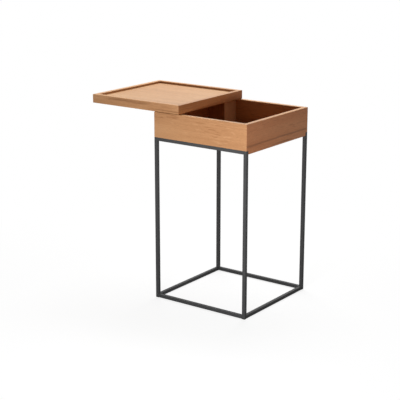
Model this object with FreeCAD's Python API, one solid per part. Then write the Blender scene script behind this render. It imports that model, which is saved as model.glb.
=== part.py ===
import FreeCAD, Part
import math
import os

# A side table with a swivel top: a square steel frame carries an oak box, and a tray lies on the box
# and swings on a post in the box's back left corner. Millimetres, +Z up, the front towards -Y.
# The table stands open, with the tray a quarter turn out over its left side. The origin is on the
# floor, in the middle of the open table, so the swivel axis is at x = 0.

# Overall sizes
SIDE = 350.0  # outer side of the square frame, box and tray
BOX_LOW = 535.0  # floor to the lower edge of the box
BOX_HEIGHT = 81.0  # lower edge to upper edge of the box's walls
TRAY_GAP = 1.0  # box to tray
TRAY_HEIGHT = 28.0
SWING = 90.0  # degrees from the open tray to the closed one
EASE = 1.0  # rounding of the wood's outer edges

# Steel frame
BAR = 11.0  # outside of the square tube
TUBE_WALL = 1.2
TUBE_EDGE = 0.8  # rounding of the tube's long edges
GLIDE = 1.0  # thickness of the foot under a leg
GLIDE_PLUG = 8.0  # length of the foot's plug in the leg
GLIDE_EDGE = 0.5  # the foot stands back from the leg's faces
GLIDE_FIT = 0.1  # plug to tube, each side

# Box
WALL = 15.0  # wall panels
BOTTOM = 5.0  # bottom panel
REBATE = 6.0  # how far the bottom panel enters the walls, above the rails
SPLINE_THICK = 3.0  # splines in the mitres
SPLINE_WIDTH = 10.0
SPLINE_COVER = 10.0  # wood above and below a spline

# Corner post
POST_SIDE = 66.0  # the two showing faces, and centred on the swivel axis
POST_BOARD = 12.0
ACCESS_RADIUS = 12.0  # hole under the lock nut
CAP_FLANGE = 1.5  # plastic cap in that hole
CAP_LIP = 2.5  # flange beyond the hole
CAP_WALL = 1.5
CAP_GRIP = 4.0  # length of the cap's ring in the hole
CAP_FIT = 0.05

# Tray
RIM = 15.0  # width of the rim
TRAY_RECESS = 7.0  # top of the rim down to the panel
TONGUE = 6.0  # how far the panel's tongue enters the rim
TONGUE_THICK = 8.0

# Swivel
SHAFT_RADIUS = 6.0
RUNNING_FIT = 0.05  # radial, shaft to bush
BUSH_WALL = 2.0
BUSH_LENGTH = 14.0
FLANGE_LIP = 3.0
FLANGE = 2.0
BUSH_FIT = 0.02  # radial, bush to block
DISC = 3.0  # thickness of the pivot disc
DISC_EDGE = 5.0  # steel between the stop's slot and the disc's rim
DISC_ROOM = 0.2  # radial, disc to its recess
WASHER_ROOM = 0.5  # radial, thrust washer to shaft
STOP_PITCH = 20.0  # stop pin's distance from the axis
STOP_ANGLE = 135.0  # stop pin's direction from the axis, anticlockwise from +X
STOP_RADIUS = 2.5
STOP_GRIP = 12.0  # length of the pin in the upper block
STOP_ROOM = 0.4  # pin to slot
STOP_TOP = 0.5  # pin's end below the top of the slot
END_PLAY = 0.3  # lower bush to retaining washer
STUD_RADIUS = 4.0  # threaded end of the shaft
STUD_END = 1.5  # stud beyond the nut
WASHER_LIP = 2.0  # retaining washer beyond the shaft
WASHER = 1.6
NUT_FLATS = 13.0
NUT = 8.0
THREAD_FIT = 0.1  # radial, thread to its hole

# Wood screws
SCREW_COVER = 5.0  # wood left over a screw's tip
FRAME_SCREW_RADIUS = 1.75
FRAME_SCREW_GRIP = 25.0  # length in the box's wall
FRAME_SCREW_HEAD = 2.2  # height of the head
FRAME_SCREW_INSET = 60.0  # outer screws from the table's sides
HEAD_ROOM = 0.4  # head to the inside of the tube, each side
PIVOT_SCREW_RADIUS = 2.0
PIVOT_SCREW_HEAD = 3.6  # radius of the countersunk head
PIVOT_SCREW_COUNT = 4
PIVOT_SCREW_STEP = 60.0  # degrees

# Places worked out from the sizes
HALF = SIDE / 2
POST_HALF = POST_SIDE / 2
REACH = HALF - WALL - POST_HALF  # swivel axis to the middle of the box, along X and along Y
BASE_MIDDLE = FreeCAD.Vector(REACH, 0, 0)
TRAY_MIDDLE = FreeCAD.Vector(-REACH, 0, 0)
AXIS = FreeCAD.Vector(0, REACH, 0)
BOX_TOP = BOX_LOW + BOX_HEIGHT
BOTTOM_TOP = BOX_LOW + BOTTOM
TRAY_LOW = BOX_TOP + TRAY_GAP
PANEL = TRAY_HEIGHT - TRAY_RECESS
BUSH_RADIUS = SHAFT_RADIUS + RUNNING_FIT + BUSH_WALL
FLANGE_RADIUS = BUSH_RADIUS + FLANGE_LIP
SLOT_HALF = STOP_RADIUS + STOP_ROOM
DISC_RADIUS = STOP_PITCH + SLOT_HALF + DISC_EDGE
NUT_ROOM = END_PLAY + WASHER + NUT + STUD_END
LOWER_BUSH_LOW = BOTTOM_TOP + NUT_ROOM
SHOULDER = LOWER_BUSH_LOW - END_PLAY  # where the shaft steps down to its stud
WASHER_RADIUS = SHAFT_RADIUS + WASHER_LIP
HEAD_RADIUS = BAR / 2 - TUBE_WALL - HEAD_ROOM
UP = FreeCAD.Vector(0, 0, 1)

# The four sides, a quarter turn apart, anticlockwise from above
SIDE_NAMES = ("front", "right", "back", "left")


def block(low, high):
    """A box between two corners."""
    size = FreeCAD.Vector(*high) - FreeCAD.Vector(*low)
    return Part.makeBox(size.x, size.y, size.z, FreeCAD.Vector(*low))


def slab(side, low, high):
    """An upright square prism about the Z axis."""
    return block((-side / 2, -side / 2, low), (side / 2, side / 2, high))


def rod(radius, low, high, middle=AXIS):
    """An upright cylinder, on the swivel axis unless another middle is given."""
    return Part.makeCylinder(radius, high - low, middle + UP * low)


def prism(corners, low, high):
    """An upright prism on a polygon."""
    points = [FreeCAD.Vector(x, y, low) for x, y in corners]
    return Part.Face(Part.makePolygon(points + points[:1])).extrude(UP * (high - low))


def turned(shape, quarters):
    """A copy turned about the Z axis by quarter turns."""
    copy = shape.copy()
    copy.rotate(FreeCAD.Vector(), UP, 90 * quarters)
    return copy


def moved(shape, shift):
    copy = shape.copy()
    copy.translate(shift)
    return copy


def polar(radius, degrees):
    """A point round the swivel axis."""
    turn = math.radians(degrees)
    return AXIS + FreeCAD.Vector(radius * math.cos(turn), radius * math.sin(turn), 0)


def save(name, shapes):
    """Writes a piece, or several alike as one group."""
    shape = shapes if isinstance(shapes, Part.Shape) else Part.makeCompound(shapes)
    shape.exportStep(f"parts/{name}.step")


def tube(length):
    """A square tube that stands on the origin."""
    outer = slab(BAR, 0, length)
    long_edges = [edge for edge in outer.Edges if edge.BoundBox.ZLength > length / 2]
    return outer.makeFillet(TUBE_EDGE, long_edges).cut(slab(BAR - 2 * TUBE_WALL, 0, length))


def rail(low):
    """A tube between two legs, on the front side, with its lower face at a given height."""
    piece = tube(SIDE - 2 * BAR)
    piece.rotate(FreeCAD.Vector(), FreeCAD.Vector(0, 1, 0), 90)
    piece.translate(FreeCAD.Vector(BAR - HALF, BAR / 2 - HALF, low + BAR / 2))
    return piece


def leg_middles():
    """The four legs' middles about the base's own middle, by name."""
    offset = HALF - BAR / 2
    return {
        "front_left": FreeCAD.Vector(-offset, -offset, 0),
        "front_right": FreeCAD.Vector(offset, -offset, 0),
        "back_left": FreeCAD.Vector(-offset, offset, 0),
        "back_right": FreeCAD.Vector(offset, offset, 0),
    }


def glide():
    """A foot with the plug that holds it in a leg."""
    foot = slab(BAR - 2 * GLIDE_EDGE, 0, GLIDE)
    plug = slab(BAR - 2 * TUBE_WALL - 2 * GLIDE_FIT, GLIDE, GLIDE + GLIDE_PLUG)
    return foot.fuse(plug).removeSplitter()


def frame_screw_middles():
    """The screws of the front top rail, about the base's own middle."""
    spread = HALF - FRAME_SCREW_INSET
    return [FreeCAD.Vector(step * spread, BAR / 2 - HALF, 0) for step in (-1, 0, 1)]


def frame_screw(middle):
    """A screw whose head bears on the upper wall of the rail, from the inside."""
    seat = BOX_LOW - TUBE_WALL
    head = rod(HEAD_RADIUS, seat - FRAME_SCREW_HEAD, seat, middle)
    shank = rod(FRAME_SCREW_RADIUS, seat, BOX_LOW + FRAME_SCREW_GRIP, middle)
    return head.fuse(shank)


def frame_screw_hole(middle):
    """Room for a screw: a way in through the rail's lower wall, and the hole for the shank above."""
    seat = BOX_LOW - TUBE_WALL
    way_in = rod(HEAD_RADIUS + HEAD_ROOM / 2, BOX_LOW - BAR, seat, middle)
    shank = rod(FRAME_SCREW_RADIUS + THREAD_FIT, seat, BOX_LOW + FRAME_SCREW_GRIP, middle)
    return way_in.fuse(shank)


def both_rails(shapes):
    """The front rail's copies and those of the rail at the back."""
    return [turned(shape, half) for half in (0, 2) for shape in shapes]


def eased_ring(width, low, high, ease_below):
    """A square ring of the table's size, with its corners and showing edges rounded."""
    ring = slab(SIDE, low, high).cut(slab(SIDE - 2 * width, low, high))
    rounded = []
    for edge in ring.Edges:
        box = edge.BoundBox
        outside = max(abs(box.XMin), abs(box.XMax), abs(box.YMin), abs(box.YMax)) > HALF - width / 2
        level = box.ZLength < (high - low) / 2
        if (level and box.ZMin > (low + high) / 2) or (outside and (ease_below or not level)):
            rounded.append(edge)
    return ring.makeFillet(EASE, rounded)


def mitred_sides(ring, low, high):
    """The ring's four sides, cut apart at its mitres, by name."""
    wedge = prism([(0, 0), (-SIDE, -SIDE), (SIDE, -SIDE)], low, high)
    return {name: ring.common(turned(wedge, turn)) for turn, name in enumerate(SIDE_NAMES)}


def skirt():
    """The right side panel's strip between the legs, as deep as a rail."""
    return block((HALF - BAR, BAR - HALF, BOX_LOW - BAR), (HALF, HALF - BAR, BOX_LOW))


def splines():
    """A spline across each mitre, in the middle of the wall."""
    low = BOTTOM_TOP + SPLINE_COVER
    high = BOX_TOP - SPLINE_COVER
    strip = block((-SPLINE_WIDTH / 2, -SPLINE_THICK / 2, low), (SPLINE_WIDTH / 2, SPLINE_THICK / 2, high))
    strip.rotate(FreeCAD.Vector(), UP, 45)
    strip.translate(FreeCAD.Vector(HALF - WALL / 2, WALL / 2 - HALF, 0))
    return [turned(strip, turn) for turn in range(len(SIDE_NAMES))]


def bottom_blank():
    """The bottom panel with its edges in the walls' rebates, on the top rails and the skirts."""
    return slab(SIDE - 2 * WALL + 2 * REBATE, BOX_LOW, BOTTOM_TOP)


def box_walls():
    """The four walls about the base's own middle, by name."""
    walls = mitred_sides(eased_ring(WALL, BOX_LOW, BOX_TOP, ease_below=False), BOX_LOW, BOX_TOP)
    for turn, name in ((0, "right"), (2, "left")):
        walls[name] = walls[name].fuse(turned(skirt(), turn)).removeSplitter()
    room = [bottom_blank(), *splines()]
    room += both_rails([frame_screw_hole(middle) for middle in frame_screw_middles()])
    return {name: wall.cut(room) for name, wall in walls.items()}


def box_bottom():
    """The bottom panel in its place, with the hole under the lock nut."""
    screw_holes = both_rails([frame_screw_hole(middle) for middle in frame_screw_middles()])
    panel = moved(bottom_blank().cut(screw_holes), BASE_MIDDLE)
    return panel.cut(rod(ACCESS_RADIUS, BOX_LOW, BOTTOM_TOP))


def post_boards():
    """The post's two showing boards, mitred at its free corner: towards +X, then towards -Y."""
    far, near = POST_HALF, POST_HALF - POST_BOARD
    back = REACH + POST_HALF
    square = block((-far, REACH - far, BOTTOM_TOP), (far, back, BOX_TOP))
    angle = square.cut(block((-far, REACH - near, BOTTOM_TOP), (near, back, BOX_TOP)))
    free, other = (far, REACH - far), (-far, back)
    side = angle.common(prism([free, (far, back), other], BOTTOM_TOP, BOX_TOP))
    front = angle.common(prism([free, other, (-far, REACH - far)], BOTTOM_TOP, BOX_TOP))
    return side, front


def post_block(low, high):
    """A block that fills the post between two heights."""
    near = POST_HALF - POST_BOARD
    return block((-POST_HALF, REACH - near, low), (near, REACH + POST_HALF, high))


def bush_form(low, flange_up, room):
    """The outer form of a flanged bush, larger all round by the given room."""
    high = low + BUSH_LENGTH
    flange_low = high - FLANGE if flange_up else low
    return rod(BUSH_RADIUS + room, low, high).fuse(
        rod(FLANGE_RADIUS + room, flange_low, flange_low + FLANGE)
    )


def bush(low, flange_up):
    """A flanged bush with its running bore."""
    bore = rod(SHAFT_RADIUS + RUNNING_FIT, low, low + BUSH_LENGTH)
    return bush_form(low, flange_up, 0).cut(bore)


def stop_pin(room):
    """The pin in the upper block that stands up into the disc's slot, thicker by the given room."""
    top = TRAY_LOW + DISC - STOP_TOP
    return rod(STOP_RADIUS + room, BOX_TOP - STOP_GRIP, top, polar(STOP_PITCH, STOP_ANGLE))


def upper_block():
    low = BOX_TOP - BUSH_LENGTH
    return post_block(low, BOX_TOP).cut([bush_form(low, True, BUSH_FIT), stop_pin(BUSH_FIT)])


def lower_block():
    """The block on the bottom panel, with the lock nut's room under its bush."""
    high = LOWER_BUSH_LOW + BUSH_LENGTH
    nut_room = rod(ACCESS_RADIUS, BOTTOM_TOP, LOWER_BUSH_LOW)
    return post_block(BOTTOM_TOP, high).cut([bush_form(LOWER_BUSH_LOW, False, BUSH_FIT), nut_room])


def access_cap():
    """A cup-shaped cap: a flange under the bottom panel and a ring in its hole."""
    flange = rod(ACCESS_RADIUS + CAP_LIP, BOX_LOW - CAP_FLANGE, BOX_LOW)
    ring = rod(ACCESS_RADIUS - CAP_FIT, BOX_LOW, BOX_LOW + CAP_GRIP)
    hollow = rod(ACCESS_RADIUS - CAP_FIT - CAP_WALL, BOX_LOW, BOX_LOW + CAP_GRIP)
    return flange.fuse(ring).cut(hollow)


def thrust_washer():
    washer = rod(DISC_RADIUS, BOX_TOP, TRAY_LOW)
    return washer.cut([rod(SHAFT_RADIUS + WASHER_ROOM, BOX_TOP, TRAY_LOW), stop_pin(STOP_ROOM)])


def stop_slot():
    """The arc that the stop pin runs along, with a round end at each limit of the swing."""
    low, high = TRAY_LOW, TRAY_LOW + DISC
    arc = Part.makeCylinder(STOP_PITCH + SLOT_HALF, DISC, AXIS + UP * low, UP, SWING)
    arc.rotate(AXIS, UP, STOP_ANGLE - SWING)
    arc = arc.cut(rod(STOP_PITCH - SLOT_HALF, low, high))
    ends = [rod(SLOT_HALF, low, high, polar(STOP_PITCH, STOP_ANGLE - turn)) for turn in (0, SWING)]
    return arc.fuse(ends)


def pivot_screw(middle, room):
    """A countersunk screw, its head flush under the disc, thicker by the given room."""
    taper = PIVOT_SCREW_HEAD - PIVOT_SCREW_RADIUS
    head = Part.makeCone(PIVOT_SCREW_HEAD + room, PIVOT_SCREW_RADIUS + room, taper, middle + UP * TRAY_LOW)
    tip = TRAY_LOW + PANEL - SCREW_COVER
    return head.fuse(rod(PIVOT_SCREW_RADIUS + room, TRAY_LOW + taper, tip, middle))


def pivot_screws(room):
    """The disc's screws, spread evenly about the point opposite the middle of the slot."""
    opposite = STOP_ANGLE - SWING / 2 + 180
    steps = [step - (PIVOT_SCREW_COUNT - 1) / 2 for step in range(PIVOT_SCREW_COUNT)]
    middles = [polar(STOP_PITCH, opposite + step * PIVOT_SCREW_STEP) for step in steps]
    return [pivot_screw(middle, room) for middle in middles]


def pivot_disc():
    low, high = TRAY_LOW, TRAY_LOW + DISC
    disc = rod(DISC_RADIUS, low, high)
    return disc.cut([rod(SHAFT_RADIUS, low, high), stop_slot(), *pivot_screws(THREAD_FIT)])


def pivot_shaft():
    """The shaft from the top of the disc down to its shoulder, and the stud below."""
    stud_end = SHOULDER - WASHER - NUT - STUD_END
    shaft = rod(SHAFT_RADIUS, SHOULDER, TRAY_LOW + DISC)
    return shaft.fuse(rod(STUD_RADIUS, stud_end, SHOULDER))


def retaining_washer():
    low = SHOULDER - WASHER
    return rod(WASHER_RADIUS, low, SHOULDER).cut(rod(STUD_RADIUS + THREAD_FIT, low, SHOULDER))


def lock_nut():
    low, high = SHOULDER - WASHER - NUT, SHOULDER - WASHER
    corner = NUT_FLATS / 2 / math.cos(math.radians(30))
    corners = [polar(corner, 60 * step) for step in range(6)]
    hexagon = prism([(point.x, point.y) for point in corners], low, high)
    return hexagon.cut(rod(STUD_RADIUS + THREAD_FIT, low, high))


def tray_wood():
    """The tray's panel and four rims in their places: the panel, then the rims by name."""
    top = TRAY_LOW + TRAY_HEIGHT
    inside = SIDE - 2 * RIM
    tongue_low = TRAY_LOW + (PANEL - TONGUE_THICK) / 2
    tongue = slab(inside + 2 * TONGUE, tongue_low, tongue_low + TONGUE_THICK)
    panel = moved(slab(inside, TRAY_LOW, TRAY_LOW + PANEL).fuse(tongue), TRAY_MIDDLE)
    rims = mitred_sides(eased_ring(RIM, TRAY_LOW, top, ease_below=True), TRAY_LOW, top)
    room = [rod(DISC_RADIUS + DISC_ROOM, TRAY_LOW, TRAY_LOW + DISC), *pivot_screws(THREAD_FIT)]
    rims = {name: moved(rim, TRAY_MIDDLE).cut([panel, *room]) for name, rim in rims.items()}
    return panel.cut(room), rims


def save_frame():
    for name, middle in leg_middles().items():
        save(f"leg_{name}", moved(tube(BOX_LOW - GLIDE), BASE_MIDDLE + middle + UP * GLIDE))
    for turn, name in enumerate(SIDE_NAMES):
        save(f"bottom_rail_{name}", moved(turned(rail(GLIDE), turn), BASE_MIDDLE))
    drilled = rail(BOX_LOW - BAR).cut([frame_screw_hole(middle) for middle in frame_screw_middles()])
    save("top_rail_front", moved(drilled, BASE_MIDDLE))
    save("top_rail_back", moved(turned(drilled, 2), BASE_MIDDLE))
    screws = both_rails([frame_screw(middle) for middle in frame_screw_middles()])
    save("frame_screws", [moved(screw, BASE_MIDDLE) for screw in screws])
    save("floor_glides", [moved(glide(), BASE_MIDDLE + middle) for middle in leg_middles().values()])


def save_box():
    for name, wall in box_walls().items():
        save(f"box_{name}", moved(wall, BASE_MIDDLE))
    save("box_bottom", box_bottom())
    save("mitre_splines", [moved(spline, BASE_MIDDLE) for spline in splines()])
    side_board, front_board = post_boards()
    save("post_side_board", side_board)
    save("post_front_board", front_board)
    save("post_upper_block", upper_block())
    save("post_lower_block", lower_block())
    save("access_cap", access_cap())


def save_swivel():
    save("upper_bush", bush(BOX_TOP - BUSH_LENGTH, flange_up=True))
    save("lower_bush", bush(LOWER_BUSH_LOW, flange_up=False))
    save("thrust_washer", thrust_washer())
    save("stop_pin", stop_pin(0))
    save("pivot_disc", pivot_disc())
    save("pivot_shaft", pivot_shaft())
    save("pivot_screws", pivot_screws(0))
    save("retaining_washer", retaining_washer())
    save("lock_nut", lock_nut())


def save_tray():
    panel, rims = tray_wood()
    save("tray_panel", panel)
    for name, rim in rims.items():
        save(f"tray_rim_{name}", rim)


os.makedirs("parts", exist_ok=True)
save_frame()
save_box()
save_swivel()
save_tray()
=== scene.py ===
"""Looks for the swivel top side table: an oiled oak box and tray on a powder-coated tube frame."""

import math

import bmesh
import bpy
from mathutils import Matrix, Vector


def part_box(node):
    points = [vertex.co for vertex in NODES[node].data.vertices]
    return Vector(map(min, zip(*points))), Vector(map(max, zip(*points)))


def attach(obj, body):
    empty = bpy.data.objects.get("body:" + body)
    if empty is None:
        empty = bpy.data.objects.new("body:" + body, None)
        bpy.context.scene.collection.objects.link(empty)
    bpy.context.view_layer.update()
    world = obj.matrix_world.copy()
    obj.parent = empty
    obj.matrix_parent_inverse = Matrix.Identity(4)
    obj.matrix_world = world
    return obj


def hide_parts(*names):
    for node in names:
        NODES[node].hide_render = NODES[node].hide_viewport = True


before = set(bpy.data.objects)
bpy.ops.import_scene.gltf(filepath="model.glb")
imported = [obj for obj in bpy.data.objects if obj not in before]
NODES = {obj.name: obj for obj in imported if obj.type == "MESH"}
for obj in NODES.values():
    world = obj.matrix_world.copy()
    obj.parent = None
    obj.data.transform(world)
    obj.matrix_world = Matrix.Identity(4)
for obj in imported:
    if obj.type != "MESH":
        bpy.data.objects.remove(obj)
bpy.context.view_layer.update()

# Places read from the frame, in metres
BASE_X = (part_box("leg_front_left")[0].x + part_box("leg_front_right")[1].x) / 2
INNER_HALF = -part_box("box_front")[1].y
BOTTOM_MIDDLE = (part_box("box_bottom")[0].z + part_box("box_bottom")[1].z) / 2
BOX_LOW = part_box("box_front")[0].z
TRAY_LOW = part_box("tray_panel")[0].z
SHAFT_LOW, SHAFT_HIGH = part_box("pivot_shaft")
AXIS = Vector(((SHAFT_LOW.x + SHAFT_HIGH.x) / 2, (SHAFT_LOW.y + SHAFT_HIGH.y) / 2, 0.0))

# Directions and turns
UP = Vector((0, 0, 1))
RIGHT = Vector((1, 0, 0))
BACK = Vector((0, 1, 0))
QUARTER = math.radians(90)
GRAIN_TURNS = {"X": (0.0, 0.0, 0.0), "Y": (0.0, 0.0, -QUARTER), "Z": (0.0, QUARTER, 0.0)}

# The photograph's view: the camera's turn from the front and its pitch below level, in degrees,
# and its lens and sensor, in millimetres
CAMERA_PLACE = (2.1378, -2.9153, 1.2889)
CAMERA_TURN = 36.223
CAMERA_PITCH = 15.33
CAMERA_LENS = 102.16
SENSOR = 36.0

# Light: the strength of the surroundings, and the lamps, in metres and watts
WHITE = (1.0, 1.0, 1.0, 1.0)
AMBIENT = 0.12
LAMPS = {
    "overhead": {
        "place": (-0.7, 1.3, 2.3),
        "target": (0.0, 0.0, 0.5),
        "width": 1.6,
        "height": 1.6,
        "power": 60.0,
    },
    "low_front": {
        "place": (0.60, -1.15, 0.585),
        "target": (0.2, 0.0, 0.50),
        "width": 0.5,
        "height": 0.09,
        "power": 11.3,
    },
}

# Floor: its paint, its own light and its least share of white as the camera sees it, and the
# distances over which it turns white, straight and in reflections
FLOOR_SIZE = 30.0
FLOOR_COLOUR = (0.38, 0.38, 0.38, 1.0)
FLOOR_GLOW = 0.66
FLOOR_LIFT = 0.4
FLOOR_FADE = (0.45, 1.05)
MIRROR_FADE = (0.22, 0.60)

# Oak, as linear colours of light, middle and dark wood
GOLDEN_OAK = ((0.690, 0.382, 0.164, 1.0), (0.590, 0.298, 0.115, 1.0), (0.400, 0.178, 0.063, 1.0))
HONEY_OAK = ((0.680, 0.380, 0.195, 1.0), (0.580, 0.295, 0.137, 1.0), (0.400, 0.178, 0.074, 1.0))
# The next two tints are darker and redder, for the right-hand box wall and tray rim: painted shade
RIGHT_SHADE_OAK = ((0.712, 0.316, 0.148, 1.0), (0.622, 0.242, 0.102, 1.0), (0.415, 0.143, 0.053, 1.0))
RIM_SHADE_OAK = ((0.610, 0.280, 0.110, 1.0), (0.518, 0.212, 0.073, 1.0), (0.366, 0.131, 0.040, 1.0))
# Lighter tint for the post's side board: painted light
POST_LIGHT_OAK = ((0.780, 0.490, 0.280, 1.0), (0.680, 0.390, 0.200, 1.0), (0.480, 0.235, 0.105, 1.0))
# Paler tint for the boards' upper edges: a painted highlight
EDGE_HIGHLIGHT_OAK = ((0.760, 0.416, 0.174, 1.0), (0.660, 0.330, 0.124, 1.0), (0.460, 0.204, 0.070, 1.0))

# Oak's dark heart streaks, which also serve for a broad painted shade, and open pores, and the painted shade
# that darkens the box's inside
HEART_AND_SHADE_OAK = (0.240, 0.098, 0.038, 1.0)
OAK_PORE = (0.185, 0.078, 0.032, 1.0)
INSIDE_SHADE = (0.74, 0.58, 0.42, 1.0)

# Oak's layers: counts per metre along and across the grain, and the noise's detail
BROAD = (1.2, 11.0, 2.0)
STREAKS = (5.0, 210.0, 3.0)
FIBRES = (28.0, 2300.0, 2.0)
DASHES = (26.0, 230.0, 1.0)
CLUSTERS = (4.0, 14.0, 1.0)
LINES = (1.6, 130.0, 1.0)
PORES = (95.0, 2400.0, 1.0)
RING_BENDS = (1.4, 6.0, 2.0)
RING_WAVES = (9.0, 70.0, 2.0)
STREAK_WAVES = (6.0, 0.0, 2.0)
STREAK_BREAKS = (7.0, 240.0, 2.0)
NOISE_MIDDLE = 0.5

# Oak's tone: the shares of broad colour, streaks and fibres, and where it is light, middle and dark
TONE_SHARES = (0.74, 0.12, 0.14)
TONE_STOPS = (0.64, 0.48, 0.32)

# Oak's marks: where each sets in and where it is full, and how strongly it then shows
DASH_CUT = (0.58, 0.64)
DASH_DEPTH = 0.42
BOLD_DASHES = {"box_front": 0.90}
CLUSTER_CUT = (0.46, 0.56)
RAY_CUT = (0.36, 0.29)
RAY_DEPTH = 0.45
LINE_CUT = (0.68, 0.76)
LINE_DEPTH = 0.40
EARLY_WOOD = (0.60, 0.05)
RING_DEPTH = 0.08
PORE_CUT = (0.56, 0.68)
PORE_DEPTH = 0.60
PORE_GATHER = (-0.30, 0.90)
STREAK_BREAK_CUT = (0.38, 0.58)
STREAK_DEPTH = 0.80

# Oak's growth rings and dark streaks, heart streaks and painted shade alike, in metres, and the rings' lean
# across the board
RING_PITCH = 0.0034
RING_SWAY = 0.050
RING_RIPPLE = 0.0035
RING_LEAN = 0.62
STREAK_SWAY = 0.010

# Oak's painted highlight along the upper edges and painted shade inside the box, how far each reaches in
# metres, and the step from one board's grain to the next
EDGE_REACH = 0.0006
INSIDE_MARGIN = 0.0006
SEED_STEP = (0.37, 0.113, 0.071)

# Oak's surface: gloss, limits of roughness, the bump's strength and depth, and the fibres' share of it
OAK_GLOSS = 0.2
OAK_ROUGH = (0.46, 0.64)
OAK_BUMP = (0.35, 0.0003)
FIBRE_HEIGHT = 0.35

# Boards: the grain of each side, the darker and redder tints of the two right-hand boards, which are painted
# shade, and the first seed of each family
SIDE_GRAIN = {"front": "X", "right": "Y", "back": "X", "left": "Y"}
SHADE_TINTS = {"box_right": RIGHT_SHADE_OAK, "tray_rim_right": RIM_SHADE_OAK}
SEEDS = {
    "box": 1,
    "bottom": 6,
    "post_side": 7,
    "tray": 8,
    "post_front": 9,
    "tray_rim": 11,
    "blocks": 21,
    "splines": 22,
}

# Dark streaks: height, half thickness, and the middle and reach along the board, in metres. Those on the
# box's right wall and the tray's front rim are heart streaks; the broad one on the tray's right rim is
# painted shade over its near end.
HEART_AND_SHADE_STREAKS = {
    "box_right": (
        {"height": BOX_LOW + 0.013, "half": 0.0048, "middle": 0.0, "reach": 0.40},
        {"height": BOX_LOW - 0.005, "half": 0.0040, "middle": 0.02, "reach": 0.07},
    ),
    "tray_rim_front": (
        {"height": TRAY_LOW + 0.021, "half": 0.0065, "middle": -0.15, "reach": 0.10},
        {"height": TRAY_LOW + 0.006, "half": 0.0030, "middle": 0.05, "reach": 0.14},
    ),
    # Painted shade: a band broader than the rim, darkening its near end
    "tray_rim_right": (
        {"height": TRAY_LOW + 0.018, "half": 0.0240, "middle": -0.20, "reach": 0.22, "slope": -0.02},
    ),
}

# Sawn beech: layers as for oak
BEECH_STOPS = (0.35, 0.65)
BEECH_TONES = ((0.52, 0.33, 0.18, 1.0), (0.66, 0.47, 0.29, 1.0))
BEECH_GRAIN = (6.0, 160.0, 3.0)
BEECH_FLECKS = (320.0, 1500.0, 1.0)
BEECH_FLECK = (0.36, 0.20, 0.10, 1.0)
BEECH_FLECK_CUT = (0.60, 0.70)
BEECH_FLECK_DEPTH = 0.45
SAW_MARKS = (900.0, 12.0, 1.0)
BEECH_ROUGH = (0.70, 0.85)
BEECH_BUMP = (0.4, 0.0003)

# Even finishes: two tones, noises with a count per metre and a detail, roughness and bump
CLOUD_STOPS = (0.30, 0.70)
COAT_TONES = ((0.064, 0.064, 0.065, 1.0), (0.074, 0.074, 0.075, 1.0))
COAT_CLOUD = (18.0, 2.0)
COAT_PEEL = (1100.0, 2.0)
COAT_GLOSS = 0.1
COAT_ROUGH = (0.54, 0.64)
COAT_BUMP = (0.10, 0.0001)
ZINC_TONES = ((0.44, 0.45, 0.45, 1.0), (0.62, 0.62, 0.58, 1.0))
ZINC_CLOUD = (160.0, 3.0)
ZINC_MARKS = (300.0, 2.0)
ZINC_ROUGH = (0.30, 0.48)
ZINC_BUMP = (0.2, 0.0001)
NYLON_TONES = ((0.66, 0.63, 0.55, 1.0), (0.76, 0.74, 0.68, 1.0))
NYLON_FLOW = (60.0, 3.0)
NYLON_GRAIN = (2200.0, 1.0)
NYLON_ROUGH = (0.42, 0.56)
NYLON_BUMP = (0.15, 0.0001)
PLASTIC_TONES = ((0.017, 0.017, 0.018, 1.0), (0.025, 0.025, 0.026, 1.0))
PLASTIC_CLOUD = (50.0, 2.0)
PLASTIC_SPARK = (1800.0, 2.0)
PLASTIC_GLOSS = 0.3
PLASTIC_ROUGH = (0.50, 0.70)
PLASTIC_BUMP = (0.3, 0.0001)

# Fineness of the new pieces
MERGE = 1e-6  # metres
SHARP_ANGLE = 35  # degrees
TURN_STEPS = 36
ROUNDING_STEPS = 5

# Screws, in metres
THREAD_STEPS = 16
THREAD_PITCH = 0.0015
THREAD_HALF = 0.35  # share of the pitch
THREAD_CORE = 0.70  # share of the thread's outer radius
THREAD_FOOT = 0.96  # share of the core's radius
RAIL_SCREW_RADIUS = 0.00175
RAIL_SCREW_HEAD = 0.0022
DISC_SCREW_RADIUS = 0.0020
DISC_SCREW_HEAD = 0.0036
DISC_SCREW_PITCH = 0.020
DISC_SCREW_ANGLES = (180, 240, 300, 360)
CROSS_LENGTH = 0.0038
CROSS_WIDTH = 0.0010
CROSS_DEPTH = 0.0011
CROSS_TAPER = 0.0001

# Cap, nut and glides, in metres
CAP_RING = 0.01195
CAP_WALL = 0.0015
CAP_FLANGE = 0.0015
CAP_DISH = 0.0005
CAP_NOTCH = 9  # degrees each way
NUT_SIDES = 6
NUT_BORE = 0.0041
NUT_CHAMFER = 0.0009
NUT_TILT = 2  # how much more the chamfer faces up or down than outward
SQUARE_SIDES = 4
GLIDE_FOOT = 0.001
GLIDE_EASE = 0.0003
GLIDE_PLUG = 0.0042
GLIDE_GROOVE = 0.0037
GLIDE_RIBS = 4
GLIDE_CORNER = 0.0008
CORNER_STEPS = 3
ROUND_PROFILE = 0.5


def new_finish(name):
    """A new material, its node tree and its shader."""
    material = bpy.data.materials.new(name)
    material.use_nodes = True
    shader = material.node_tree.nodes["Principled BSDF"]
    return material, material.node_tree, shader


def add_node(tree, kind, inputs=None, **settings):
    """A node with its settings, and its inputs set to values or joined to sockets."""
    made = tree.nodes.new(kind)
    for key, value in settings.items():
        setattr(made, key, value)
    for key, value in (inputs or {}).items():
        if isinstance(value, bpy.types.NodeSocket):
            tree.links.new(value, made.inputs[key])
        else:
            made.inputs[key].default_value = value
    return made


def maths(tree, operation, first, second=0.0):
    """One arithmetic step."""
    return add_node(tree, "ShaderNodeMath", {0: first, 1: second}, operation=operation).outputs[0]


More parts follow.
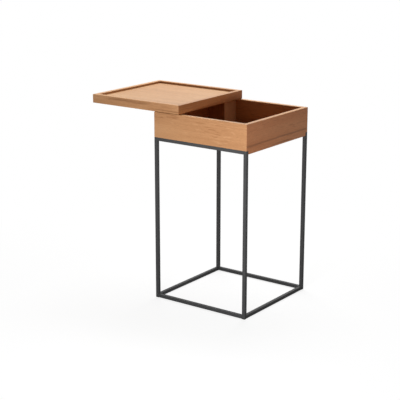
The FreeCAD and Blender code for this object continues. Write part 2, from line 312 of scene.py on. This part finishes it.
def blend(tree, factor, first, second, blend_type="MIX"):
    """A colour between two colours, or their product."""
    inputs = {"Factor": factor, 6: first, 7: second}
    return add_node(tree, "ShaderNodeMix", inputs, data_type="RGBA", blend_type=blend_type).outputs[2]


def ramp(tree, factor, places, colours):
    """A colour ramp with a colour at each place."""
    made = add_node(tree, "ShaderNodeValToRGB", {"Fac": factor})
    elements = made.color_ramp.elements
    while len(elements) < len(places):
        elements.new(1.0)
    for element, (place, colour) in zip(elements, sorted(zip(places, colours))):
        element.position = place
        element.color = colour
    return made.outputs["Color"]


def spread(tree, value, low, high, to_low=0.0, to_high=1.0):
    """A value stretched from low..high to 0..1, or to other limits."""
    inputs = {"Value": value, "From Min": low, "From Max": high, "To Min": to_low, "To Max": to_high}
    return add_node(tree, "ShaderNodeMapRange", inputs, clamp=True).outputs["Result"]


def object_place(tree):
    """Where a point lies, in its piece's own coordinates."""
    return add_node(tree, "ShaderNodeTexCoord").outputs["Object"]


def split_axes(tree, vector):
    """The three coordinates of a place."""
    return add_node(tree, "ShaderNodeSeparateXYZ", {0: vector}).outputs


def noise(tree, vector, along, across, detail):
    """Noise drawn out along X, with counts per metre along and across."""
    stretched = add_node(tree, "ShaderNodeMapping", {"Vector": vector, "Scale": (along, across, across)})
    inputs = {"Vector": stretched.outputs[0], "Scale": 1.0, "Detail": detail}
    return add_node(tree, "ShaderNodeTexNoise", inputs).outputs["Fac"]


def even_noise(tree, count, detail):
    """Noise alike in all directions, with a count per metre."""
    return noise(tree, object_place(tree), count, count, detail)


def set_surface(tree, shader, colour, rough, height, bump):
    """Joins a finish to its shader: colour, roughness by a value from 0 to 1, and bump by a height."""
    value, limits = rough
    strength, depth = bump
    tree.links.new(colour, shader.inputs["Base Color"])
    tree.links.new(spread(tree, value, 0.0, 1.0, *limits), shader.inputs["Roughness"])
    inputs = {"Height": height, "Strength": strength, "Distance": depth}
    bumped = add_node(tree, "ShaderNodeBump", inputs).outputs["Normal"]
    tree.links.new(bumped, shader.inputs["Normal"])


def grain_space(tree, along, seed):
    """Object coordinates turned so that the grain runs along X, moved by a seed of its own."""
    shift = [step * seed for step in SEED_STEP]
    inputs = {"Vector": object_place(tree), "Location": shift, "Rotation": GRAIN_TURNS[along]}
    return add_node(tree, "ShaderNodeMapping", inputs).outputs[0]


def box_inside(tree):
    """1 on the walls' inner faces and on the bottom panel's upper face, 0 elsewhere."""
    axes = split_axes(tree, object_place(tree))
    edge = INNER_HALF + INSIDE_MARGIN
    from_middle = maths(tree, "ABSOLUTE", maths(tree, "SUBTRACT", axes[0], BASE_X))
    inside_x = maths(tree, "LESS_THAN", from_middle, edge)
    inside_y = maths(tree, "LESS_THAN", maths(tree, "ABSOLUTE", axes[1]), edge)
    above = maths(tree, "GREATER_THAN", axes[2], BOTTOM_MIDDLE)
    return maths(tree, "MULTIPLY", maths(tree, "MULTIPLY", inside_x, inside_y), above)


def upper_edge(tree, top):
    """1 on a board's upper edge, 0 below it."""
    height = split_axes(tree, object_place(tree))[2]
    return spread(tree, height, top - EDGE_REACH, top - EDGE_REACH / 2)


def growth_rings(tree, grain):
    """Where a point lies within its growth ring, 0 to 1, on rings that sway along the grain."""
    axes = split_axes(tree, grain)
    depth = maths(tree, "ADD", maths(tree, "MULTIPLY", axes[1], RING_LEAN), axes[2])
    sway = maths(tree, "MULTIPLY", noise(tree, grain, *RING_BENDS), RING_SWAY)
    ripple = maths(tree, "MULTIPLY", noise(tree, grain, *RING_WAVES), RING_RIPPLE)
    depth = maths(tree, "ADD", depth, maths(tree, "ADD", sway, ripple))
    return maths(tree, "FRACT", maths(tree, "DIVIDE", depth, RING_PITCH))


def heart_and_shade_streak(tree, grain, along, height, half, middle, reach, slope=0.0):
    """A dark streak along a board, level or sloping, serving for heartwood and for painted shade: it sways,
    breaks up, and fades out from its middle.
    """
    axes = split_axes(tree, object_place(tree))
    run = axes["XYZ".index(along)]
    wave = maths(tree, "SUBTRACT", noise(tree, grain, *STREAK_WAVES), NOISE_MIDDLE)
    swayed = maths(tree, "ADD", axes[2], maths(tree, "MULTIPLY", wave, STREAK_SWAY))
    centre = maths(tree, "ADD", maths(tree, "MULTIPLY", run, slope), height)
    off = maths(tree, "ABSOLUTE", maths(tree, "SUBTRACT", swayed, centre))
    breaks = noise(tree, grain, *STREAK_BREAKS)
    broken = spread(tree, breaks, *STREAK_BREAK_CUT, STREAK_DEPTH / 2, STREAK_DEPTH)
    from_middle = maths(tree, "ABSOLUTE", maths(tree, "SUBTRACT", run, middle))
    broken = maths(tree, "MULTIPLY", broken, spread(tree, from_middle, reach, reach / 2))
    return maths(tree, "MULTIPLY", spread(tree, off, half, 0.0), broken)


def oak_tone(tree, grain, fibres):
    """How light the wood is: broad colour, streaks and fibres."""
    layers = (noise(tree, grain, *BROAD), noise(tree, grain, *STREAKS), fibres)
    tone = 0.0
    for layer, share in zip(layers, TONE_SHARES):
        tone = maths(tree, "ADD", maths(tree, "MULTIPLY", layer, share), tone)
    return tone


def add_dashes(tree, grain, colour, tints, depth):
    """Adds pale rays, clusters of dark dashes, and a few long dark lines."""
    flecks = noise(tree, grain, *DASHES)
    colour = blend(tree, spread(tree, flecks, *RAY_CUT, to_high=RAY_DEPTH), colour, tints[0])
    clusters = spread(tree, noise(tree, grain, *CLUSTERS), *CLUSTER_CUT)
    dash = maths(tree, "MULTIPLY", spread(tree, flecks, *DASH_CUT, to_high=depth), clusters)
    line = spread(tree, noise(tree, grain, *LINES), *LINE_CUT, to_high=LINE_DEPTH)
    return blend(tree, maths(tree, "MAXIMUM", dash, line), colour, tints[-1])


def oak(name, along, seed, tints=HONEY_OAK, inside=False, dark_streaks=(), dash_depth=DASH_DEPTH, top=None):
    """Oiled oak: growth rings, fibre streaks, dark dashes and open pores along the grain; where asked, also
    dark streaks of heartwood and painted shade, a painted highlight along the upper edge, and painted shade
    on the box's inner faces.
    """
    material, tree, shader = new_finish(name)
    grain = grain_space(tree, along, seed)
    fibres = noise(tree, grain, *FIBRES)
    tone = oak_tone(tree, grain, fibres)
    early = spread(tree, growth_rings(tree, grain), *EARLY_WOOD)
    colour = ramp(tree, tone, TONE_STOPS, tints)
    colour = blend(tree, maths(tree, "MULTIPLY", early, RING_DEPTH), colour, tints[-1])
    colour = add_dashes(tree, grain, colour, tints, dash_depth)
    # Dark streaks: heartwood, and on the tray's right rim a broad painted shade
    for streak in dark_streaks:
        colour = blend(tree, heart_and_shade_streak(tree, grain, along, **streak), colour, HEART_AND_SHADE_OAK)
    # Painted highlight: a paler tint along the board's upper edge
    if top is not None:
        highlight = ramp(tree, tone, TONE_STOPS, EDGE_HIGHLIGHT_OAK)
        colour = blend(tree, upper_edge(tree, top), colour, highlight)
    pore = spread(tree, noise(tree, grain, *PORES), *PORE_CUT, to_high=PORE_DEPTH)
    pore = maths(tree, "MULTIPLY", pore, spread(tree, early, *PORE_GATHER))
    colour = blend(tree, pore, colour, OAK_PORE)
    # Painted shade: the box's inner faces darkened
    if inside:
        shaded = blend(tree, 1.0, colour, INSIDE_SHADE, "MULTIPLY")
        colour = blend(tree, box_inside(tree), colour, shaded)
    shader.inputs["Specular IOR Level"].default_value = OAK_GLOSS
    height = maths(tree, "SUBTRACT", maths(tree, "MULTIPLY", fibres, FIBRE_HEIGHT), pore)
    set_surface(tree, shader, colour, (fibres, OAK_ROUGH), height, OAK_BUMP)
    return material


def beech(name, along, seed):
    """Bare sawn beech: pinkish tan, with short flecks along the grain and the saw's marks across it."""
    material, tree, shader = new_finish(name)
    grain = grain_space(tree, along, seed)
    tone = noise(tree, grain, *BEECH_GRAIN)
    colour = ramp(tree, tone, BEECH_STOPS, BEECH_TONES)
    flecks = noise(tree, grain, *BEECH_FLECKS)
    fleck = spread(tree, flecks, *BEECH_FLECK_CUT, to_high=BEECH_FLECK_DEPTH)
    colour = blend(tree, fleck, colour, BEECH_FLECK)
    saw = noise(tree, grain, *SAW_MARKS)
    set_surface(tree, shader, colour, (tone, BEECH_ROUGH), saw, BEECH_BUMP)
    return material


def powder_coat(name):
    """Matt anthracite powder coat with its fine orange peel."""
    material, tree, shader = new_finish(name)
    peel = even_noise(tree, *COAT_PEEL)
    colour = ramp(tree, even_noise(tree, *COAT_CLOUD), CLOUD_STOPS, COAT_TONES)
    shader.inputs["Specular IOR Level"].default_value = COAT_GLOSS
    set_surface(tree, shader, colour, (peel, COAT_ROUGH), peel, COAT_BUMP)
    return material


def zinc_plate(name):
    """Bright zinc on steel: cloudy patches and fine tool marks."""
    material, tree, shader = new_finish(name)
    cloud = even_noise(tree, *ZINC_CLOUD)
    marks = even_noise(tree, *ZINC_MARKS)
    colour = ramp(tree, cloud, CLOUD_STOPS, ZINC_TONES)
    shader.inputs["Metallic"].default_value = 1.0
    set_surface(tree, shader, colour, (cloud, ZINC_ROUGH), marks, ZINC_BUMP)
    return material


def nylon(name):
    """Natural nylon: creamy white, with faint flow marks."""
    material, tree, shader = new_finish(name)
    flow = even_noise(tree, *NYLON_FLOW)
    grainy = even_noise(tree, *NYLON_GRAIN)
    colour = ramp(tree, flow, CLOUD_STOPS, NYLON_TONES)
    set_surface(tree, shader, colour, (flow, NYLON_ROUGH), grainy, NYLON_BUMP)
    return material


def black_plastic(name):
    """Black moulded plastic with a fine spark-eroded texture."""
    material, tree, shader = new_finish(name)
    spark = even_noise(tree, *PLASTIC_SPARK)
    colour = ramp(tree, even_noise(tree, *PLASTIC_CLOUD), CLOUD_STOPS, PLASTIC_TONES)
    shader.inputs["Specular IOR Level"].default_value = PLASTIC_GLOSS
    set_surface(tree, shader, colour, (spark, PLASTIC_ROUGH), spark, PLASTIC_BUMP)
    return material


def upright(x, y):
    """A point on the floor, which stands for the upright axis over it."""
    return Vector((x, y, 0.0))


def add_piece(name, shape, finish, body, node):
    """Makes a piece of a shape, on its body and in the place of a CAD node."""
    bmesh.ops.recalc_face_normals(shape, faces=shape.faces)
    mesh = bpy.data.meshes.new(name)
    shape.to_mesh(mesh)
    shape.free()
    mesh.shade_smooth()
    mesh.set_sharp_from_angle(angle=math.radians(SHARP_ANGLE))
    mesh.materials.append(finish)
    piece = bpy.data.objects.new(name, mesh)
    bpy.context.scene.collection.objects.link(piece)
    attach(piece, body)
    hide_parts(node)


def join_shapes(shapes):
    """Several shapes as one."""
    mesh = bpy.data.meshes.new("joined")
    whole = bmesh.new()
    for shape in shapes:
        shape.to_mesh(mesh)
        whole.from_mesh(mesh)
        shape.free()
    bpy.data.meshes.remove(mesh)
    return whole


def rounded_foot(radius, level, rounding):
    """Points of a turned profile round its lower edge."""
    points = []
    for step in range(ROUNDING_STEPS + 1):
        turn = QUARTER * step / ROUNDING_STEPS
        points.append((radius - rounding * (1 - math.sin(turn)), level + rounding * (1 - math.cos(turn))))
    return points


def spin_profile(axis, profile, steps=TURN_STEPS):
    """A turned form: (radius, height) points spun about an upright axis."""
    shape = bmesh.new()
    verts = [shape.verts.new(axis + Vector((radius, 0.0, height))) for radius, height in profile]
    edges = [shape.edges.new(pair) for pair in zip(verts, verts[1:])]
    bmesh.ops.spin(
        shape, geom=verts + edges, cent=axis, axis=UP, angle=math.tau, steps=steps, use_merge=True
    )
    bmesh.ops.remove_doubles(shape, verts=shape.verts, dist=MERGE)
    bmesh.ops.recalc_face_normals(shape, faces=shape.faces)
    return shape


def wind_thread(shape, axis, radius, low, high):
    """Winds a thread's ridge up a shank and closes its two ends."""
    half = THREAD_HALF * THREAD_PITCH
    turns = (high - low - 2 * half) / THREAD_PITCH
    foot = THREAD_FOOT * THREAD_CORE * radius
    corners = ((foot, low), (radius, low + half), (foot, low + 2 * half))
    verts = [shape.verts.new(axis + Vector((reach, 0.0, height))) for reach, height in corners]
    edges = [shape.edges.new((verts[place - 1], verts[place])) for place in range(len(verts))]
    bmesh.ops.spin(
        shape,
        geom=verts + edges,
        cent=axis,
        axis=UP,
        dvec=UP * THREAD_PITCH / THREAD_STEPS,
        angle=math.tau * turns,
        steps=round(turns * THREAD_STEPS),
    )
    open_edges = [edge for edge in shape.edges if edge.is_boundary]
    bmesh.ops.holes_fill(shape, edges=open_edges, sides=len(corners))


def flat_faces(shape, level):
    """The faces that lie level at a height."""
    return [face for face in shape.faces if all(abs(vert.co.z - level) < MERGE for vert in face.verts)]


def bisect(shape, faces, point, normal, **choices):
    """Cuts some faces along a plane."""
    edges = {edge for face in faces for edge in face.edges}
    verts = {vert for face in faces for vert in face.verts}
    geom = [*faces, *edges, *verts]
    return bmesh.ops.bisect_plane(shape, geom=geom, dist=MERGE, plane_co=point, plane_no=normal, **choices)


def sink_cross(shape, axis, level):
    """Sinks a cross recess into the flat lower face of a screw's head."""
    for direction in (RIGHT, BACK):
        for offset in (-CROSS_LENGTH, -CROSS_WIDTH, CROSS_WIDTH, CROSS_LENGTH):
            bisect(shape, flat_faces(shape, level), axis + direction * offset / 2, direction)
    cross = []
    for face in flat_faces(shape, level):
        away = face.calc_center_median() - axis
        near, far = sorted((abs(away.x), abs(away.y)))
        if near < CROSS_WIDTH / 2 and far < CROSS_LENGTH / 2:
            cross.append(face)
    bmesh.ops.inset_region(
        shape, faces=cross, thickness=CROSS_TAPER, depth=-CROSS_DEPTH, use_even_offset=True
    )


def wood_screw(axis, head, radius, tip):
    """A wood screw, point up: a head with a cross recess, a shank with its point, and a thread."""
    low, neck = head[0][1], head[-1][1]
    core = THREAD_CORE * radius
    point = tip - 2 * radius
    shape = spin_profile(axis, [*head, (core, neck), (core, point), (0.0, tip)])
    sink_cross(shape, axis, low)
    wind_thread(shape, axis, radius, neck + THREAD_PITCH, point)
    return shape


def rail_screws():
    """Six pan-head screws, up through the top rails into the box."""
    low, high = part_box("frame_screws")
    shapes = []
    for rail in ("top_rail_front", "top_rail_back"):
        rail_low, rail_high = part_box(rail)
        y = (rail_low.y + rail_high.y) / 2
        radius = high.y - abs(y)
        seat = low.z + RAIL_SCREW_HEAD
        head = [(0.0, low.z), *rounded_foot(radius, low.z, RAIL_SCREW_HEAD / 2), (radius, seat)]
        for x in (low.x + radius, BASE_X, high.x - radius):
            shapes.append(wood_screw(upright(x, y), head, RAIL_SCREW_RADIUS, high.z))
    return join_shapes(shapes)


def disc_screws():
    """Four countersunk screws, up through the pivot disc into the tray."""
    low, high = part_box("pivot_screws")
    taper = DISC_SCREW_HEAD - DISC_SCREW_RADIUS
    head = [(0.0, low.z), (DISC_SCREW_HEAD, low.z), (DISC_SCREW_RADIUS, low.z + taper)]
    shapes = []
    for turn in map(math.radians, DISC_SCREW_ANGLES):
        axis = AXIS + DISC_SCREW_PITCH * Vector((math.cos(turn), math.sin(turn), 0.0))
        shapes.append(wood_screw(axis, head, DISC_SCREW_RADIUS, high.z))
    return join_shapes(shapes)


def hole_cap():
    """The cap of the nut's access hole: a dished flange with a notch to prise it by, and a ring."""
    low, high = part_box("access_cap")
    radius = (high.x - low.x) / 2
    top = low.z + CAP_FLANGE
    inner = CAP_RING - CAP_WALL
    dish = low.z + CAP_DISH
    profile = [(0.0, dish), (inner - CAP_DISH, dish), (inner, low.z)]
    profile += [*rounded_foot(radius, low.z, CAP_FLANGE / 2), (radius, top)]
    profile += [(CAP_RING, top), (CAP_RING, high.z - CAP_DISH), (CAP_RING - CAP_DISH, high.z)]
    profile += [(inner, high.z), (inner, top), (0.0, top)]
    shape = spin_profile(AXIS, profile, 2 * TURN_STEPS)
    for vert in shape.verts:
        away = vert.co - AXIS
        away.z = 0.0
        if away.length > (CAP_RING + radius) / 2 and away.angle(RIGHT) < math.radians(CAP_NOTCH):
            vert.co -= away * CAP_DISH / radius
    return shape


def locking_nut():
    """A hexagon nut with its corners chamfered above and below."""
    low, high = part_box("lock_nut")
    corner = (high.x - low.x) / 2
    profile = [(NUT_BORE, low.z), (corner, low.z), (corner, high.z), (NUT_BORE, high.z), (NUT_BORE, low.z)]
    shape = spin_profile(AXIS, profile)
    sixth = math.tau / NUT_SIDES
    for vert in shape.verts:
        away = Vector((vert.co.x - AXIS.x, vert.co.y - AXIS.y, 0.0))
        if away.length > (NUT_BORE + corner) / 2:
            from_flat = math.atan2(away.y, away.x) % sixth - sixth / 2
            vert.co -= away * (1 - math.cos(sixth / 2) / math.cos(from_flat))
    for step in range(NUT_SIDES):
        away = Vector((math.cos(step * sixth), math.sin(step * sixth), 0.0))
        for level, tilt in ((low.z, -NUT_TILT * UP), (high.z, NUT_TILT * UP)):
            point = AXIS + away * (corner - NUT_CHAMFER) + UP * level
            cut = bisect(shape, list(shape.faces), point, away + tilt, clear_outer=True)
            edges = [item for item in cut["geom_cut"] if isinstance(item, bmesh.types.BMEdge)]
            bmesh.ops.holes_fill(shape, edges=edges, sides=0)
    return shape


def is_foot_corner(edge, top):
    """Whether an edge is the upright edge of a glide's foot."""
    low, high = sorted(vert.co.z for vert in edge.verts)
    return high < top + MERGE and high - low > GLIDE_FOOT / 2


def foot_glide(axis, half, low, high):
    """A square foot with eased edges, and the ribbed plug that holds it in a leg."""
    profile = [(half - GLIDE_EASE, low), (half, low + GLIDE_EASE), (half, low + GLIDE_FOOT)]
    rib = (high - low - GLIDE_FOOT) / GLIDE_RIBS
    for count in range(GLIDE_RIBS):
        level = low + GLIDE_FOOT + count * rib
        profile += [(GLIDE_GROOVE, level), (GLIDE_GROOVE, level + rib / 2)]
        profile += [(GLIDE_PLUG, level + rib / 2), (GLIDE_PLUG, level + rib)]
    diagonal = [(reach * math.sqrt(2), level) for reach, level in profile]
    shape = spin_profile(axis, diagonal, SQUARE_SIDES)
    open_edges = [edge for edge in shape.edges if edge.is_boundary]
    bmesh.ops.holes_fill(shape, edges=open_edges, sides=SQUARE_SIDES)
    bmesh.ops.bevel(
        shape,
        geom=[edge for edge in shape.edges if is_foot_corner(edge, low + GLIDE_FOOT)],
        offset=GLIDE_CORNER,
        affect="EDGES",
        segments=CORNER_STEPS,
        profile=ROUND_PROFILE,
        material=-1,
    )
    bmesh.ops.rotate(shape, verts=shape.verts, cent=axis, matrix=Matrix.Rotation(QUARTER / 2, 3, "Z"))
    return shape


def foot_glides():
    """The four glides, one in each leg's lower end."""
    low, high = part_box("floor_glides")
    shapes = []
    for end in ("front_left", "front_right", "back_left", "back_right"):
        leg_low, leg_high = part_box(f"leg_{end}")
        axis = upright((leg_low.x + leg_high.x) / 2, (leg_low.y + leg_high.y) / 2)
        half = high.y - abs(axis.y)
        shapes.append(foot_glide(axis, half, low.z, high.z))
    return join_shapes(shapes)


def dress(material, *names):
    """Gives CAD pieces their finish."""
    for name in names:
        NODES[name].data.materials.clear()
        NODES[name].data.materials.append(material)


def dress_frame():
    """Coats the steel frame."""
    bars = [name for name in NODES if name.startswith(("leg_", "bottom_rail_", "top_rail_"))]
    dress(powder_coat("anthracite_coat"), *bars)


def dress_oak():
    """Gives every oak board a grain of its own."""
    for number, (side, along) in enumerate(SIDE_GRAIN.items()):
        for family in ("box", "tray_rim"):
            board = f"{family}_{side}"
            finish = oak(
                f"oak_{board}",
                along,
                SEEDS[family] + number,
                # Darker, redder tints on the right-hand boards: painted shade
                SHADE_TINTS.get(board, HONEY_OAK),
                inside=family == "box",
                dark_streaks=HEART_AND_SHADE_STREAKS.get(board, ()),
                dash_depth=BOLD_DASHES.get(board, DASH_DEPTH),
                top=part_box(board)[1].z,
            )
            dress(finish, board)
    dress(oak("oak_bottom", "X", SEEDS["bottom"], inside=True), "box_bottom")
    # The post's side board takes a lighter tint: painted light
    dress(oak("oak_post_side", "Z", SEEDS["post_side"], POST_LIGHT_OAK), "post_side_board")
    dress(oak("oak_post_front", "Z", SEEDS["post_front"], inside=True), "post_front_board")
    dress(oak("oak_tray", "X", SEEDS["tray"], GOLDEN_OAK), "tray_panel")


def dress_hardware():
    """Dresses the post's inside and the swivel, and makes the small pieces that replace plain solids."""
    dress(beech("sawn_beech", "X", SEEDS["blocks"]), "post_upper_block", "post_lower_block")
    dress(beech("sawn_splines", "Z", SEEDS["splines"]), "mitre_splines")
    dress(nylon("natural_nylon"), "upper_bush", "lower_bush", "thrust_washer")
    zinc = zinc_plate("bright_zinc")
    dress(zinc, "stop_pin", "pivot_disc", "pivot_shaft", "retaining_washer")
    add_piece("rail_screws", rail_screws(), zinc, "base", "frame_screws")
    add_piece("disc_screws", disc_screws(), zinc, "tray", "pivot_screws")
    add_piece("locking_nut", locking_nut(), zinc, "tray", "lock_nut")
    plastic = black_plastic("moulded_black")
    add_piece("hole_cap", hole_cap(), plastic, "base", "access_cap")
    add_piece("foot_glides", foot_glides(), plastic, "base", "floor_glides")


def floor_finish():
    """Pale floor that keeps a soft shadow near the table, fades to white and is clear from below."""
    material, tree, shader = new_finish("studio_floor")
    tree.nodes.remove(shader)
    path = add_node(tree, "ShaderNodeLightPath").outputs
    direct = maths(tree, "MAXIMUM", path["Is Camera Ray"], path["Is Transmission Ray"])
    paint = add_node(tree, "ShaderNodeBsdfDiffuse", {"Color": FLOOR_COLOUR}).outputs[0]
    glow = maths(tree, "MULTIPLY", direct, FLOOR_GLOW)
    glow = add_node(tree, "ShaderNodeEmission", {"Strength": glow}).outputs[0]
    near = add_node(tree, "ShaderNodeAddShader", {0: paint, 1: glow}).outputs[0]
    white = add_node(tree, "ShaderNodeEmission", {"Strength": 1.0}).outputs[0]
    place = object_place(tree)
    reach = add_node(tree, "ShaderNodeVectorMath", {0: place}, operation="LENGTH").outputs["Value"]
    fade = maths(tree, "MULTIPLY", spread(tree, reach, *FLOOR_FADE, to_low=FLOOR_LIFT), direct)
    from_base = {0: place, 1: (BASE_X, 0.0, 0.0)}
    reach = add_node(tree, "ShaderNodeVectorMath", from_base, operation="DISTANCE").outputs["Value"]
    mirrored = maths(tree, "MULTIPLY", spread(tree, reach, *MIRROR_FADE), path["Is Glossy Ray"])
    fade = maths(tree, "MAXIMUM", fade, mirrored)
    shown = add_node(tree, "ShaderNodeMixShader", {0: fade, 1: near, 2: white}).outputs[0]
    clear = add_node(tree, "ShaderNodeBsdfTransparent").outputs[0]
    under = add_node(tree, "ShaderNodeNewGeometry").outputs["Backfacing"]
    under = maths(tree, "MULTIPLY", under, path["Is Camera Ray"])
    result = add_node(tree, "ShaderNodeMixShader", {0: under, 1: shown, 2: clear}).outputs[0]
    tree.links.new(result, tree.nodes["Material Output"].inputs["Surface"])
    return material


def make_floor():
    """Lays the floor under the table."""
    shape = bmesh.new()
    bmesh.ops.create_grid(shape, x_segments=1, y_segments=1, size=FLOOR_SIZE)
    mesh = bpy.data.meshes.new("floor")
    shape.to_mesh(mesh)
    shape.free()
    mesh.materials.append(floor_finish())
    floor = bpy.data.objects.new("floor", mesh)
    bpy.context.scene.collection.objects.link(floor)


def seen_rays(tree):
    """1 for what the camera sees: straight, in a reflection or through something clear."""
    path = add_node(tree, "ShaderNodeLightPath").outputs
    seen = maths(tree, "MAXIMUM", path["Is Camera Ray"], path["Is Glossy Ray"])
    return maths(tree, "MAXIMUM", seen, path["Is Transmission Ray"])


def make_world():
    """Even surroundings: a weak light of their own, and pure white as the camera sees them."""
    world = bpy.data.worlds.new("studio")
    bpy.context.scene.world = world
    world.use_nodes = True
    tree = world.node_tree
    strength = spread(tree, seen_rays(tree), 0.0, 1.0, AMBIENT, 1.0)
    tree.links.new(strength, tree.nodes["Background"].inputs["Strength"])
    tree.nodes["Background"].inputs["Color"].default_value = WHITE


def softbox(name, place, target, width, height, power):
    """A lamp with a flat face turned towards a point."""
    data = bpy.data.lights.new(name, "AREA")
    data.shape = "RECTANGLE"
    data.size = width
    data.size_y = height
    data.energy = power
    lamp = bpy.data.objects.new(name, data)
    lamp.location = place
    lamp.visible_camera = False
    lamp.rotation_euler = (Vector(target) - Vector(place)).to_track_quat("-Z", "Y").to_euler()
    bpy.context.scene.collection.objects.link(lamp)


def make_camera():
    """Sets the camera to the photograph's view."""
    data = bpy.data.cameras.new("camera")
    data.sensor_width = SENSOR
    data.lens = CAMERA_LENS
    camera = bpy.data.objects.new("camera", data)
    camera.location = CAMERA_PLACE
    camera.rotation_euler = (QUARTER - math.radians(CAMERA_PITCH), 0.0, math.radians(CAMERA_TURN))
    bpy.context.scene.collection.objects.link(camera)
    bpy.context.scene.camera = camera


bpy.context.scene.view_settings.view_transform = "Standard"
dress_frame()
dress_oak()
dress_hardware()
make_floor()
make_world()
for lamp_name, lamp_facts in LAMPS.items():
    softbox(lamp_name, **lamp_facts)
make_camera()
